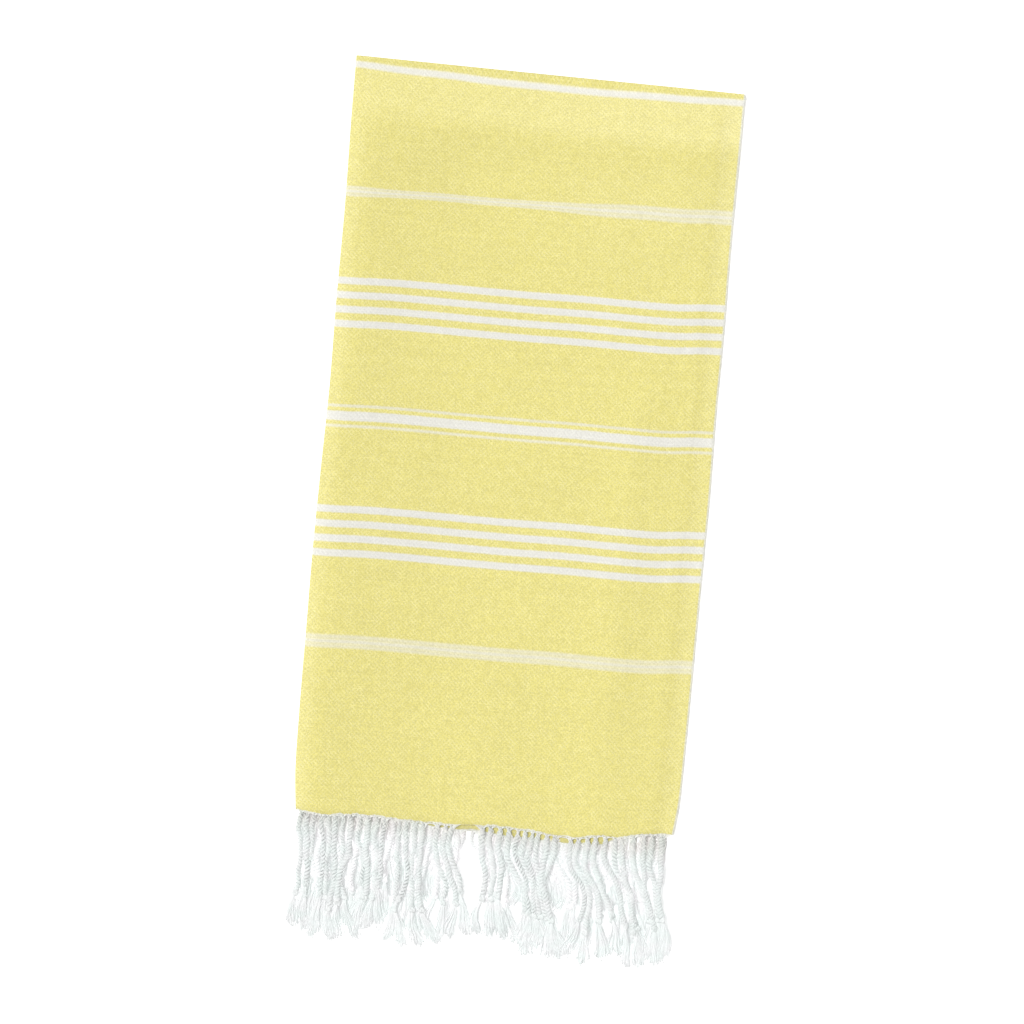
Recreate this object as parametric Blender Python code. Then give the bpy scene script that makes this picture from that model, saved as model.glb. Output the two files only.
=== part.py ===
"""A hammam towel: flat-woven cotton, folded in half lengthwise and then in half across, lying face up.

Metres, +Z up. The cross fold is at +Y, the knotted fringe at -Y and the long fold at -X.
The cloth is one sheet. It is bent twice: across its width round the long fold, which gives an outer
and an inner leaf, and along its length round the cross fold, which lays both leaves back under themselves.
The four layers are, from the top: outer and inner leaf of the upper end, inner and outer leaf of the
lower end.
"""

import math

import bmesh
import bpy
import numpy as np

MM = 0.001

# The folded cloth. Distances run from the cross fold down to the fringe, and places from the long fold
# over to the selvedges.
SHEET = 1.0 * MM  # thickness of the cloth
LAYER_STEP = 1.9 * MM  # from one layer's middle to the next
OUTER_LEAF = 470.5 * MM  # long fold to the outer leaf's selvedge
INNER_LEAF = 442.5 * MM  # the long fold is off centre, so the inner leaf is narrower
FOLD_SLANT = 4.5 * MM  # how much lower the cross fold is at the selvedges

# Side edges of the folded cloth: distance from the cross fold, and the place of each edge.
SIDE_EDGES = {
    "distance": np.array([0, 70, 178, 300, 396, 504, 600, 700, 800, 865, 915, 960]) * MM,
    "long_fold": np.array([-1.2, -0.4, 1.4, 1.4, 2.6, 1.1, 0.3, 1.1, 1.9, 3.6, 8.5, 12.5]) * MM,
    "selvedge": np.array(
        [470.0, 469.6, 469.3, 470.5, 470.0, 471.4, 470.6, 470.3, 469.7, 468.2, 462.5, 458.5],
    ) * MM,
}
# Hem of the upper end: share of the leaf's width, distance of the hem from the cross fold, and how far
# the inner leaf hangs out below the outer one.
UPPER_HEM = {
    "share": np.array([0, 8, 15, 28, 36, 43, 49, 55, 60, 68, 75, 81, 87, 92, 100]) / 100,
    "distance": np.array([912, 915, 912, 913, 914, 914, 912, 911, 912, 915, 916, 911, 911, 905, 903]) * MM,
    "overhang": np.array([0, 0, 0, 0, 3, 5, 7, 9, 10, 8, 8, 12, 11, 5, 3]) * MM,
}
# Hem of the lower end, hidden under the upper one: its distance at the long fold and at the selvedges.
LOWER_HEM_START = 901 * MM
LOWER_HEM_END = 894 * MM

# How much the top layer swells beside the two folds, by the distance from each. Layers under it share the
# swelling by their height.
LONG_FOLD_SWELL = {
    "place": np.array([0, 8, 22, 42, 80, 120, 170, 250, 300]) * MM,
    "rise": np.array([3.0, 4.2, 4.7, 4.2, 2.6, 1.2, 0.4, 0.0, 0.0]) * MM,
}
LONG_FOLD_SWELL_AT_CORNER = 0.4  # share of it at the cross fold
LONG_FOLD_SWELL_FROM, LONG_FOLD_SWELL_FULL = 10 * MM, 95 * MM
CROSS_FOLD_SWELL = {
    "distance": np.array([0, 14, 40, 70, 110, 170, 250, 340, 400]) * MM,
    "rise": np.array([0.5, 1.3, 2.4, 2.9, 2.4, 1.2, 0.4, 0.0, 0.0]) * MM,
}
RIDGE = 2.6 * MM  # a soft ridge that runs down the lower half
RIDGE_PLACE = 372 * MM
RIDGE_WIDTH = 30 * MM
RIDGE_FROM, RIDGE_FULL = 330 * MM, 430 * MM
HEM_LIFT = 1.8 * MM  # the hems ride on the cords that lie under them
HEM_LIFT_FROM, HEM_LIFT_FULL = 835 * MM, 890 * MM
# Past the inner leaf's selvedge the outer leaf sinks towards the layer below.
SINK, SINK_FROM, SINK_TO = 2.6 * MM, 437 * MM, 460 * MM
SINK_REACH = 30 * MM  # of sheet, over which the sinking begins at the cross fold

# Grid of the sheet: shares of a leaf's width beside those of the hem's table, shares of a half's length,
# and steps round the two bends.
MORE_COLUMNS = (0.025, 0.05, 0.21, 0.945, 0.965)
ROWS = (0.03, 0.06, 0.1, 0.16, 0.25, 0.38, 0.48, 0.58, 0.72, 0.83, 0.91, 0.96, 1.0)
LONG_BEND_STEPS = 5
CROSS_BEND_STEPS = 6
HEM_TRIALS = 400  # points tried along a hem to find the one at a given place
SHARP_EDGE = math.radians(50)

# The fringe: warp ends twisted into cords, each with a knot and a loose brush end.
BACKING_GAP = 0.42 * MM
BACKING_WIDTH = 3.0 * MM
ROOT_WIDTH = 5.0 * MM
ROOT_CLEARANCE = 0.55 * ROOT_WIDTH  # from a root's middle to the backing's other grid columns
CORD_WIDTH, CORD_HEIGHT = 4.4 * MM, 3.8 * MM
UPPER_KNOT_WIDTH, LOWER_KNOT_WIDTH = 6.4 * MM, 5.0 * MM
KNOT_HEIGHT, KNOT_REACH = 4.6 * MM, 5.0 * MM
NECK_WIDTH, NECK_HEIGHT = 3.6 * MM, 3.0 * MM
UPPER_BRUSH_WIDTH, LOWER_BRUSH_WIDTH = 6.2 * MM, 4.2 * MM
BRUSH_HEIGHT = 2.2 * MM
CLEAR_STATION = 941 * MM  # where the cords have come clear of the hems
GATHERED_STATION = 970 * MM
END_STATION = 1050 * MM

# Tufts into which the cords gather. Columns: number of cords, the places of the first and the last cord
# at their roots, at the gathered station and at the end station, and the cords' length below the hem.
OUTER_TUFTS = (
    dict(cords=3, root=(15, 31), gathered=(16, 34), end=(14, 34), length=138),
    dict(cords=5, root=(41, 74), gathered=(43, 78), end=(43, 82), length=150),
    dict(cords=4, root=(88, 116), gathered=(89, 117), end=(88, 118), length=138),
    dict(cords=4, root=(134, 162), gathered=(134, 167), end=(132, 180), length=149),
    dict(cords=3, root=(182, 199), gathered=(187, 211), end=(194, 224), length=137),
    dict(cords=3, root=(236, 256), gathered=(237, 264), end=(236, 272), length=128),
    dict(cords=7, root=(268, 322), gathered=(278, 328), end=(292, 340), length=147),
    dict(cords=4, root=(342, 372), gathered=(347, 390), end=(352, 410), length=147),
    dict(cords=3, root=(384, 404), gathered=(402, 421), end=(422, 438), length=153),
    dict(cords=4, root=(417, 451), gathered=(431, 458), end=(446, 467), length=152),
)
INNER_TUFTS = (
    dict(cords=5, root=(18, 51), gathered=(20, 53), end=(21, 53), length=130),
    dict(cords=3, root=(61, 85), gathered=(62, 87), end=(62, 86), length=132),
    dict(cords=4, root=(95, 128), gathered=(97, 127), end=(100, 128), length=128),
    dict(cords=4, root=(140, 172), gathered=(143, 172), end=(143, 173), length=131),
    dict(cords=3, root=(182, 204), gathered=(182, 204), end=(182, 205), length=128),
    dict(cords=4, root=(234, 264), gathered=(240, 270), end=(250, 280), length=124),
    dict(cords=5, root=(273, 316), gathered=(280, 320), end=(288, 330), length=124),
    dict(cords=5, root=(326, 372), gathered=(332, 380), end=(338, 392), length=123),
    dict(cords=6, root=(382, 426), gathered=(392, 440), end=(402, 455), length=128),
)
# The two leaves of the lower end share its cords in turn, as far as the inner leaf reaches.
LOWER_TUFTS = (
    dict(cords=36, root=(17, 209), gathered=(19, 206), end=(19, 212), length=108),
    dict(cords=39, root=(231, 453), gathered=(243, 457), end=(238, 460), length=106),
)
INNER_LEAF_CORDS_TO = 428 * MM
KNOT_STAGGER = (0.0, 8.0, 3.0, 10.0, 5.0)  # mm, taken in turn by the cords
LENGTH_STAGGER = (0.0, -6.0, 3.0, -3.0, -8.0, 1.0, -4.0)  # mm, taken in turn by the cords

# What differs between the three beds of cords: the lower end's lie on the floor, the inner leaf's on them
# and the outer leaf's on top. The brush ends of the last come down as they reach past the others.
UPPER_SIZES = dict(knot_width=UPPER_KNOT_WIDTH, brush_width=UPPER_BRUSH_WIDTH, gathered_at=GATHERED_STATION)
LOWER_SIZES = dict(knot_width=LOWER_KNOT_WIDTH, brush_width=LOWER_BRUSH_WIDTH, gathered_at=CLEAR_STATION)
LOWER_BED = dict(underside=0.0, **LOWER_SIZES)
INNER_BED = dict(underside=5.0 * MM, **UPPER_SIZES)
OUTER_BED = dict(underside=10.0 * MM, **UPPER_SIZES)
INNER_TAIL = 40 * MM  # brush end past the knot
OUTER_TAIL = 40 * MM
LOWER_TAILS = (25 * MM, 37 * MM)  # on the inner and the outer leaf, so that neighbours' knots alternate
OUTER_LANDING = {
    "distance": np.array([1000, 1034, 1050, 1057, 1068]) * MM,
    "underside": np.array([6.4, 5.6, 3.2, 1.4, 0.2]) * MM,
}

CLOTH_YELLOW = (0.84, 0.76, 0.31, 1.0)
FRINGE_WHITE = (0.90, 0.91, 0.88, 1.0)
COTTON_ROUGHNESS = 0.9

LONG_BEND_RADIUS = LAYER_STEP / 2
LONG_BEND_HALF = LONG_BEND_RADIUS * math.pi / 2  # arc from the bend's middle to its end
CROSS_BEND_RADIUS = LAYER_STEP * 1.5
CROSS_BEND_HALF = CROSS_BEND_RADIUS * math.pi / 2
STACK_MIDDLE = SHEET / 2 + CROSS_BEND_RADIUS  # height of the cross bend's axis
TOP_HEIGHT = 2 * CROSS_BEND_RADIUS  # middle of the top layer over that of the lowest one


def smooth(table, column, at):
    """Reads a table's column at the given places of its first column, by a curve through its rows."""
    keys, values = table[next(iter(table))], table[column]
    slopes = np.gradient(values, keys)
    at = np.clip(at, keys[0], keys[-1])
    row = np.clip(np.searchsorted(keys, at) - 1, 0, len(keys) - 2)
    span = keys[row + 1] - keys[row]
    t = (at - keys[row]) / span
    rise = t * t * (3 - 2 * t)
    lead = t * (1 - t) * (1 - t) * slopes[row] - t * t * (1 - t) * slopes[row + 1]
    return values[row] + rise * (values[row + 1] - values[row]) + span * lead


def ease(value, start, full):
    """0 before start, 1 past full and a soft step between."""
    t = np.clip((value - start) / (full - start), 0, 1)
    return t * t * (3 - 2 * t)


def leaf_width(u):
    return np.where(u >= 0, OUTER_LEAF, INNER_LEAF)


def swelling(place, distance):
    """How much the top layer is raised at a place on the folded cloth."""
    corner = LONG_FOLD_SWELL_AT_CORNER
    grown = corner + (1 - corner) * ease(distance, LONG_FOLD_SWELL_FROM, LONG_FOLD_SWELL_FULL)
    beside_folds = smooth(LONG_FOLD_SWELL, "rise", place) * grown + smooth(CROSS_FOLD_SWELL, "rise", distance)
    ridge = RIDGE * np.exp(-(((place - RIDGE_PLACE) / RIDGE_WIDTH) ** 2))
    hem = HEM_LIFT * ease(distance, HEM_LIFT_FROM, HEM_LIFT_FULL)
    return beside_folds + ridge * ease(distance, RIDGE_FROM, RIDGE_FULL) + hem


def round_long_fold(u, side):
    """Place across the folded cloth and depth under the outer leaf, for a point u from the long fold's
    middle along the sheet. The inner leaf has negative u. side is the offset from the sheet's middle."""
    angle = np.clip(-u / LONG_BEND_HALF, -1, 1) * math.pi / 2 + math.pi / 2
    flat = np.maximum(np.abs(u) - LONG_BEND_HALF, 0)
    reach = LONG_BEND_RADIUS + side
    return LONG_BEND_RADIUS - reach * np.sin(angle) + flat, LONG_BEND_RADIUS - reach * np.cos(angle)


def round_cross_fold(v, depth):
    """Distance from the cross fold and height, for a point v from that fold's middle along the sheet.
    The lower end has negative v."""
    angle = np.clip(v / CROSS_BEND_HALF, -1, 1) * math.pi / 2
    flat = np.maximum(np.abs(v) - CROSS_BEND_HALF, 0)
    reach = CROSS_BEND_RADIUS - depth
    return CROSS_BEND_RADIUS + SHEET / 2 - reach * np.cos(angle) + flat, STACK_MIDDLE + reach * np.sin(angle)


def folded(u, v, side):
    """World position, before centring, of a point of the sheet: x, y and z arrays."""
    u, v, side = np.broadcast_arrays(np.asarray(u, float), np.asarray(v, float), np.asarray(side, float))
    place, depth = round_long_fold(u, side)
    distance, height = round_cross_fold(v, depth)
    middle_place, middle_depth = round_long_fold(u, 0 * side)
    middle_height = round_cross_fold(v, middle_depth)[1]
    distance = distance + FOLD_SLANT * place / OUTER_LEAF
    start, end = (smooth(SIDE_EDGES, edge, distance) for edge in ("long_fold", "selvedge"))
    across = start + place / OUTER_LEAF * (end - start)
    raised = height + (middle_height - SHEET / 2) / TOP_HEIGHT * swelling(middle_place, distance)
    top_layer = np.where((u > 0) & (v > 0), ease(v, 0, SINK_REACH), 0)
    raised = raised - SINK * top_layer * ease(middle_place, SINK_FROM, SINK_TO)
    return np.stack([across, -distance, raised], -1)


def hem_length(u, upper):
    """Length of sheet from the cross fold's middle to the hem, on one end."""
    share = np.clip(np.abs(u) / leaf_width(u), 0, 1)
    if upper:
        overhang = np.where(u >= 0, 0.0, np.interp(share, UPPER_HEM["share"], UPPER_HEM["overhang"]))
        distance = np.interp(share, UPPER_HEM["share"], UPPER_HEM["distance"]) + overhang
    else:
        distance = LOWER_HEM_START + share * (LOWER_HEM_END - LOWER_HEM_START)
    slant = FOLD_SLANT * np.abs(u) / OUTER_LEAF
    return distance - slant - CROSS_BEND_RADIUS - SHEET / 2 + CROSS_BEND_HALF


def sheet_columns():
    """u of each grid column, from the inner leaf's selvedge round the long fold to the outer one's."""
    bend = np.linspace(-LONG_BEND_HALF, LONG_BEND_HALF, LONG_BEND_STEPS + 1)
    shares = np.union1d(UPPER_HEM["share"][1:], MORE_COLUMNS)
    return np.concatenate([-shares[::-1] * INNER_LEAF, bend, shares * OUTER_LEAF])


def sheet_rows(u):
    """v of each grid row at a column u, from the lower end's hem round the cross fold to the upper one's."""
    bend = np.linspace(-CROSS_BEND_HALF, CROSS_BEND_HALF, CROSS_BEND_STEPS + 1)
    shares = np.array(ROWS)
    upper = CROSS_BEND_HALF + shares * (hem_length(u, True) - CROSS_BEND_HALF)
    lower = CROSS_BEND_HALF + shares * (hem_length(u, False) - CROSS_BEND_HALF)
    return np.concatenate([-lower[::-1], bend, upper])


def quads(first, second):
    """Faces between two equally long rows of vertex numbers."""
    return [(first[k], first[k + 1], second[k + 1], second[k]) for k in range(len(first) - 1)]


def make_object(name, points, faces, material):
    mesh = bpy.data.meshes.new(name)
    mesh.from_pydata([tuple(point) for point in points], [], faces)
    shell = bmesh.new()
    shell.from_mesh(mesh)
    bmesh.ops.recalc_face_normals(shell, faces=shell.faces)
    shell.to_mesh(mesh)
    shell.free()
    mesh.materials.append(material)
    mesh.shade_smooth()
    mesh.set_sharp_from_angle(angle=SHARP_EDGE)
    made = bpy.data.objects.new(name, mesh)
    bpy.context.scene.collection.objects.link(made)
    return made


def make_cloth(material):
    """The whole sheet as one closed body: its two faces, the hems and the selvedges."""
    columns = sheet_columns()
    u = np.repeat(columns[:, None], 2 * len(ROWS) + CROSS_BEND_STEPS + 1, 1)
    v = np.array([sheet_rows(column) for column in columns])
    sides = [folded(u, v, side).reshape(-1, 3) for side in (SHEET / 2, -SHEET / 2)]
    outer = np.arange(u.size).reshape(u.shape)
    inner = outer + u.size
    faces = []
    for number in range(len(columns) - 1):
        faces += quads(outer[number], outer[number + 1])
        faces += quads(inner[number + 1], inner[number])
    faces += quads(outer[:, 0], inner[:, 0]) + quads(inner[:, -1], outer[:, -1])
    faces += quads(inner[0], outer[0]) + quads(outer[-1], inner[-1])
    return make_object("towel_cloth", np.concatenate(sides), faces, material)


def leaf_place(place, upper, outer):
    """u of the point of a hem that lies at the given place across, on one leaf."""
    sign = 1.0 if outer else -1.0
    width = OUTER_LEAF if outer else INNER_LEAF
    trial = sign * np.linspace(0, width, HEM_TRIALS)
    found = folded(trial, (1 if upper else -1) * hem_length(trial, upper), 0.0)[:, 0]
    return sign * np.interp(place, found, np.abs(trial))


def spread(tufts):
    """One row for each cord of a list of tufts: its places at the stations, and its length."""
    cords = []
    for tuft in tufts:
        routes = [np.linspace(*tuft[station], tuft["cords"]) * MM for station in ("root", "gathered", "end")]
        for root, gathered, end in zip(*routes):
            stagger = LENGTH_STAGGER[len(cords) % len(LENGTH_STAGGER)]
            cords.append(dict(root=root, gathered=gathered, end=end, length=(tuft["length"] + stagger) * MM))
    return cords


def cord_rings(cord, number, bed, tail):
    """Rings of a cord past its root: place, distance, underside height, width and height of each."""
    end = cord["hem"] + cord["length"]
    gathered_at, underside, knot_width = bed["gathered_at"], bed["underside"], bed["knot_width"]
    knot_at = end - tail - KNOT_STAGGER[number % len(KNOT_STAGGER)] * MM
    knot_at = max(knot_at, gathered_at + 2 * KNOT_REACH)
    landing = 0.0
    if bed is OUTER_BED:
        landing = float(np.interp(end, OUTER_LANDING["distance"], OUTER_LANDING["underside"]))
    rings = [
        (gathered_at, underside, CORD_WIDTH, CORD_HEIGHT),
        (knot_at - KNOT_REACH, underside, CORD_WIDTH, CORD_HEIGHT),
        (knot_at, underside, knot_width, KNOT_HEIGHT),
        (knot_at + KNOT_REACH, underside, NECK_WIDTH, NECK_HEIGHT),
        (end, landing, bed["brush_width"], BRUSH_HEIGHT),
    ]
    if gathered_at > CLEAR_STATION:
        rings.insert(0, (CLEAR_STATION, underside, CORD_WIDTH, CORD_HEIGHT))
    slope = (cord["end"] - cord["gathered"]) / (END_STATION - gathered_at)
    places = [
        cord["root"] if ring[0] < gathered_at else cord["gathered"] + slope * (ring[0] - gathered_at)
        for ring in rings
    ]
    return [(place, *ring) for place, ring in zip(places, rings)]


def ring_points(place, distance, underside, width, height):
    """Corners of a cord's section: lower left, lower right, upper right and upper left."""
    left, right, top = place - width / 2, place + width / 2, underside + height
    return [(x, -distance, z) for x, z in ((left, underside), (right, underside), (right, top), (left, top))]


def make_fringe(name, leaves, upper, material):
    """One end's fringe as one closed body. leaves holds, for the inner and the outer leaf, its cords, the
    bed on which they lie and the length of their brush ends."""
    sign = 1 if upper else -1
    cord_at = {}
    for outer, (cords, bed, tail) in zip((False, True), leaves):
        for number, cord in enumerate(cords):
            middle = float(leaf_place(cord["root"], upper, outer))
            cord["hem"] = float(-folded(middle, sign * hem_length(middle, upper), 0.0)[1])
            cord_at[middle - ROOT_WIDTH / 2] = cord_rings(cord, number, bed, tail)
    starts = np.array(list(cord_at))
    free = [at for at in sheet_columns() if np.abs(starts + ROOT_WIDTH / 2 - at).min() > ROOT_CLEARANCE]
    columns = sorted(free + list(starts) + list(starts + ROOT_WIDTH))
    u = np.array(columns)
    nudges = (-ROOT_WIDTH / 2, 0, ROOT_WIDTH / 2)
    near = np.max([hem_length(u + nudge, upper) for nudge in nudges], 0) + BACKING_GAP
    edges = [(v, side) for v in (near, near + BACKING_WIDTH) for side in (SHEET / 2, -SHEET / 2)]
    points = [tuple(point) for v, side in edges for point in folded(u, sign * v, side)]
    rows = np.arange(len(points)).reshape(4, -1)
    near_over, near_under, far_over, far_under = rows
    faces = quads(near_over, far_over) + quads(far_under, near_under) + quads(near_under, near_over)
    faces += [tuple(rows[[0, 1, 3, 2], end]) for end in (0, -1)]
    for first, start in enumerate(columns[:-1]):
        root = [far_over[first], far_over[first + 1], far_under[first + 1], far_under[first]]
        if start in cord_at:
            faces += grow_cord(points, root, cord_at[start])
        else:
            faces.append(tuple(root))
    return make_object(name, points, faces, material)


def grow_cord(points, root, rings):
    """Adds a cord's points, starting at its root's four corners, and returns its faces."""
    across = np.array([points[corner][0] for corner in root])
    height = np.array([points[corner][2] for corner in root])
    right, top = across > across.mean(), height > height.mean()
    corner_order = ((False, False), (True, False), (True, True), (False, True))
    ring = [root[int(np.flatnonzero((right == r) & (top == t))[0])] for r, t in corner_order]
    faces = []
    for section in rings:
        following = list(range(len(points), len(points) + 4))
        points.extend(ring_points(*section))
        faces += [(ring[k], ring[(k + 1) % 4], following[(k + 1) % 4], following[k]) for k in range(4)]
        ring = following
    return faces + [tuple(ring)]


def cotton(name, colour):
    material = bpy.data.materials.new(name)
    material.use_nodes = True
    shader = material.node_tree.nodes["Principled BSDF"]
    shader.inputs["Base Color"].default_value = colour
    shader.inputs["Roughness"].default_value = COTTON_ROUGHNESS
    return material


def stand_on_origin(objects):
    """Moves the meshes so that the origin is the bottom centre of their common box."""
    corners = np.array([vertex.co for made in objects for vertex in made.data.vertices])
    low, high = corners.min(0), corners.max(0)
    shift = (-(low[0] + high[0]) / 2, -(low[1] + high[1]) / 2, -low[2])
    for made in objects:
        for vertex in made.data.vertices:
            vertex.co += type(vertex.co)(shift)


def main():
    for old in list(bpy.data.objects):
        bpy.data.objects.remove(old)
    yellow = cotton("yellow_cotton", CLOTH_YELLOW)
    white = cotton("white_cotton", FRINGE_WHITE)
    inner_leaf = (spread(INNER_TUFTS), INNER_BED, INNER_TAIL)
    outer_leaf = (spread(OUTER_TUFTS), OUTER_BED, OUTER_TAIL)
    lower_cords = ([], [])
    for number, cord in enumerate(spread(LOWER_TUFTS)):
        on_outer = number % 2 == 1 or cord["root"] > INNER_LEAF_CORDS_TO
        lower_cords[int(on_outer)].append(cord)
    lower_leaves = [(cords, LOWER_BED, tail) for cords, tail in zip(lower_cords, LOWER_TAILS)]
    objects = [
        make_cloth(yellow),
        make_fringe("fringe_front", (inner_leaf, outer_leaf), True, white),
        make_fringe("fringe_back", lower_leaves, False, white),
    ]
    stand_on_origin(objects)


main()
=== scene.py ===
"""The looks of a folded hammam towel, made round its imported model.

Metres, +Z up. The cross fold is at +Y, the knotted fringe at -Y and the long fold at -X. The cloth is
one thin sheet on the folds of its solid: u runs across it from the long fold (the inner leaf has
negative u) and v along it from the cross fold (the lower end has negative v). Places on the folded
towel are millimetres from the long fold, and distances are millimetres from the cross fold.
"""

import math

import bpy
import numpy as np
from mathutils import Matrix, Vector


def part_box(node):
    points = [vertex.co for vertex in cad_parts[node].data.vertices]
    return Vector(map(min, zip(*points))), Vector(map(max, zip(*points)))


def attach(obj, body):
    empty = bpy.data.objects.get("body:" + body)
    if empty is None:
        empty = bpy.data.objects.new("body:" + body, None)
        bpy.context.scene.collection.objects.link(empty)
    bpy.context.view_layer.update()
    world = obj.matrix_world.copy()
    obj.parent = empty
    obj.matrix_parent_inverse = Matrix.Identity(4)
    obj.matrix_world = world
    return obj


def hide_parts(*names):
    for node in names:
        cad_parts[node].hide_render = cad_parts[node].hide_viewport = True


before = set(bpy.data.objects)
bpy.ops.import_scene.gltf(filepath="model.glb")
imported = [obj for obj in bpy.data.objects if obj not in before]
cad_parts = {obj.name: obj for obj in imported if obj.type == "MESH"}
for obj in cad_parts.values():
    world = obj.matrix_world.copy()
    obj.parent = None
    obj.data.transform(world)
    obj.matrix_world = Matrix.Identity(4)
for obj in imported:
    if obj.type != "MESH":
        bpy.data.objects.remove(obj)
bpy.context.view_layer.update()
random = np.random.default_rng(7)

MM = 0.001
scene = bpy.context.scene


def mm(*lengths):
    return np.array(lengths) * MM


# ---- the folded sheet, as in its solid
SHEET = 1.0 * MM
LAYER_STEP = 1.9 * MM
OUTER_LEAF = 470.5 * MM
INNER_LEAF = 442.5 * MM
FOLD_SLANT = 4.5 * MM
SIDE_EDGES = {
    "distance": mm(0, 70, 178, 300, 396, 504, 600, 700, 800, 865, 915, 960),
    "long_fold": mm(-1.2, -0.4, 1.4, 1.4, 2.6, 1.1, 0.3, 1.1, 1.9, 3.6, 8.5, 12.5),
    "selvedge": mm(470.0, 469.6, 469.3, 470.5, 470.0, 471.4, 470.6, 470.3, 469.7, 468.2, 462.5, 458.5),
}
UPPER_HEM = {
    "share": np.array([0, 8, 15, 28, 36, 43, 49, 55, 60, 68, 75, 81, 87, 92, 100]) / 100,
    "distance": mm(912, 915, 912, 913, 914, 914, 912, 911, 912, 915, 916, 911, 911, 905, 903),
    "overhang": mm(0, 0, 0, 0, 3, 5, 7, 9, 10, 8, 8, 12, 11, 5, 3),
}
LOWER_HEM_START, LOWER_HEM_END = 901 * MM, 894 * MM
LONG_BEND_RADIUS = LAYER_STEP / 2
LONG_BEND_HALF = LONG_BEND_RADIUS * math.pi / 2
CROSS_BEND_RADIUS = LAYER_STEP * 1.5
CROSS_BEND_HALF = CROSS_BEND_RADIUS * math.pi / 2
STACK_MIDDLE = SHEET / 2 + CROSS_BEND_RADIUS

# How the top layer swells: beside the long fold and beside the cross fold. The layers under it share
# the swelling by their height.
FOLD_SWELL = {
    "place": mm(0, 8, 22, 42, 80, 120, 170, 250, 300),
    "rise": mm(3.0, 4.2, 4.7, 4.2, 2.6, 1.2, 0.4, 0.0, 0.0),
}
FOLD_SWELL_FROM, FOLD_SWELL_FULL = 10 * MM, 95 * MM
FOLD_SWELL_LEAST = 0.4  # share of the long fold's swelling at the cross fold
CROSS_SWELL = {
    "distance": mm(0, 14, 40, 70, 110, 170, 250, 340, 400),
    "rise": mm(0.5, 1.3, 2.4, 2.9, 2.4, 1.2, 0.4, 0.0, 0.0),
}
HEM_LIFT, HEM_LIFT_FROM, HEM_LIFT_FULL = 0.32, 835 * MM, 890 * MM  # a further share of the heights
# Soft ridges and troughs: the two ends of each (place, distance), its half-width and its rise, all in mm
# at the top layer.
CREASES = (
    ((372, 420), (372, 930), 30, 2.6),
    ((150, 640), (235, 905), 34, 0.7),
    ((262, 560), (300, 900), 26, -0.6),
    ((120, 250), (330, 300), 42, 0.5),
    ((90, 505), (270, 470), 46, 0.5),
    ((410, 130), (395, 400), 24, 0.6),
)
CREASE_TAPER = 90  # mm over which a crease fades out past its ends
TOP_HEIGHT = 5.7 * MM  # middle of the top layer over that of the lowest one
# Gentle unevenness of the lying cloth: waves per metre across and along, phase, rise in mm.
UNEVEN = ((3.1, 1.7, 0.4, 0.22), (5.3, -3.9, 2.1, 0.16), (1.9, 6.1, 4.0, 0.14), (9.7, 2.3, 1.2, 0.08))
# Past the inner leaf's selvedge the outer leaf sinks towards the layer below.
SINK, SINK_FROM, SINK_TO = 2.6 * MM, 437 * MM, 460 * MM
SINK_PAST_FOLD = 30 * MM  # along the sheet from the cross fold's middle, where it sinks fully

# Grid of the sheet
OUTER_SPACING, LEAST_SPACING = 4.2 * MM, 1.2 * MM
INNER_COLUMNS, LONG_BEND_COLUMNS = 56, 8
UPPER_ROWS, CROSS_BEND_ROWS, LOWER_ROWS = 158, 12, 50
RIM = 0.35 * MM  # how far the rounded rims stand out
BAKE_MARGIN = 6 * MM  # round each face of the sheet in its map for baking

# ---- the fringe, on its solids' routes
CLEAR_STATION, GATHERED_STATION, END_STATION = 941 * MM, 970 * MM, 1050 * MM
# A tuft: its number of cords, the places in mm of its first and last cord at the hem, where it is gathered
# and at END_STATION, its length in mm and, if two of its cords cross, the number of the first.
OUTER_TUFTS = (
    (3, (15, 31), (16, 34), (14, 34), 138),
    (5, (41, 74), (43, 76), (41, 82), 150, 3),
    (4, (88, 116), (89, 117), (88, 118), 138),
    (4, (134, 162), (134, 167), (132, 180), 149, 0),
    (3, (182, 199), (187, 211), (194, 224), 137),
    (3, (236, 256), (237, 264), (236, 272), 128),
    (7, (268, 322), (278, 328), (292, 340), 147, 2),
    (4, (342, 372), (347, 390), (352, 410), 147),
    (3, (384, 404), (402, 421), (422, 438), 153, 1),
    (4, (417, 451), (431, 458), (446, 467), 152),
)
INNER_TUFTS = (
    (5, (18, 51), (20, 53), (21, 53), 130),
    (3, (61, 85), (62, 87), (62, 86), 132),
    (4, (95, 128), (97, 127), (100, 128), 128),
    (4, (140, 172), (143, 172), (143, 173), 131),
    (3, (182, 204), (182, 204), (182, 205), 128),
    (4, (234, 264), (240, 270), (250, 280), 124),
    (5, (273, 316), (280, 320), (288, 330), 124),
    (5, (326, 372), (332, 380), (338, 392), 123),
    (6, (382, 426), (392, 440), (402, 455), 128),
)
LOWER_TUFTS = (
    (36, (17, 209), (19, 206), (19, 212), 108),
    (39, (231, 453), (243, 457), (238, 460), 106),
)
INNER_LEAF_CORDS_TO = 428 * MM  # past it the lower end has only the outer leaf's
# Taken in turn by the cords, in mm.
KNOT_STAGGER, LENGTH_STAGGER = (0, 8, 3, 10, 5), (0, -6, 3, -3, -8, 1, -4)
KNOT_REACH = 5.0 * MM
# How high the outer leaf's cords come down: at which distance they stop, and what they lie on.
OUTER_LANDING = mm(1000, 1034, 1050, 1057, 1068), mm(6.4, 5.6, 3.2, 1.4, 0.2)
BRUSH_MIDDLE = 1.6 * MM  # height of a brush end's middle over what it lies on
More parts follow.
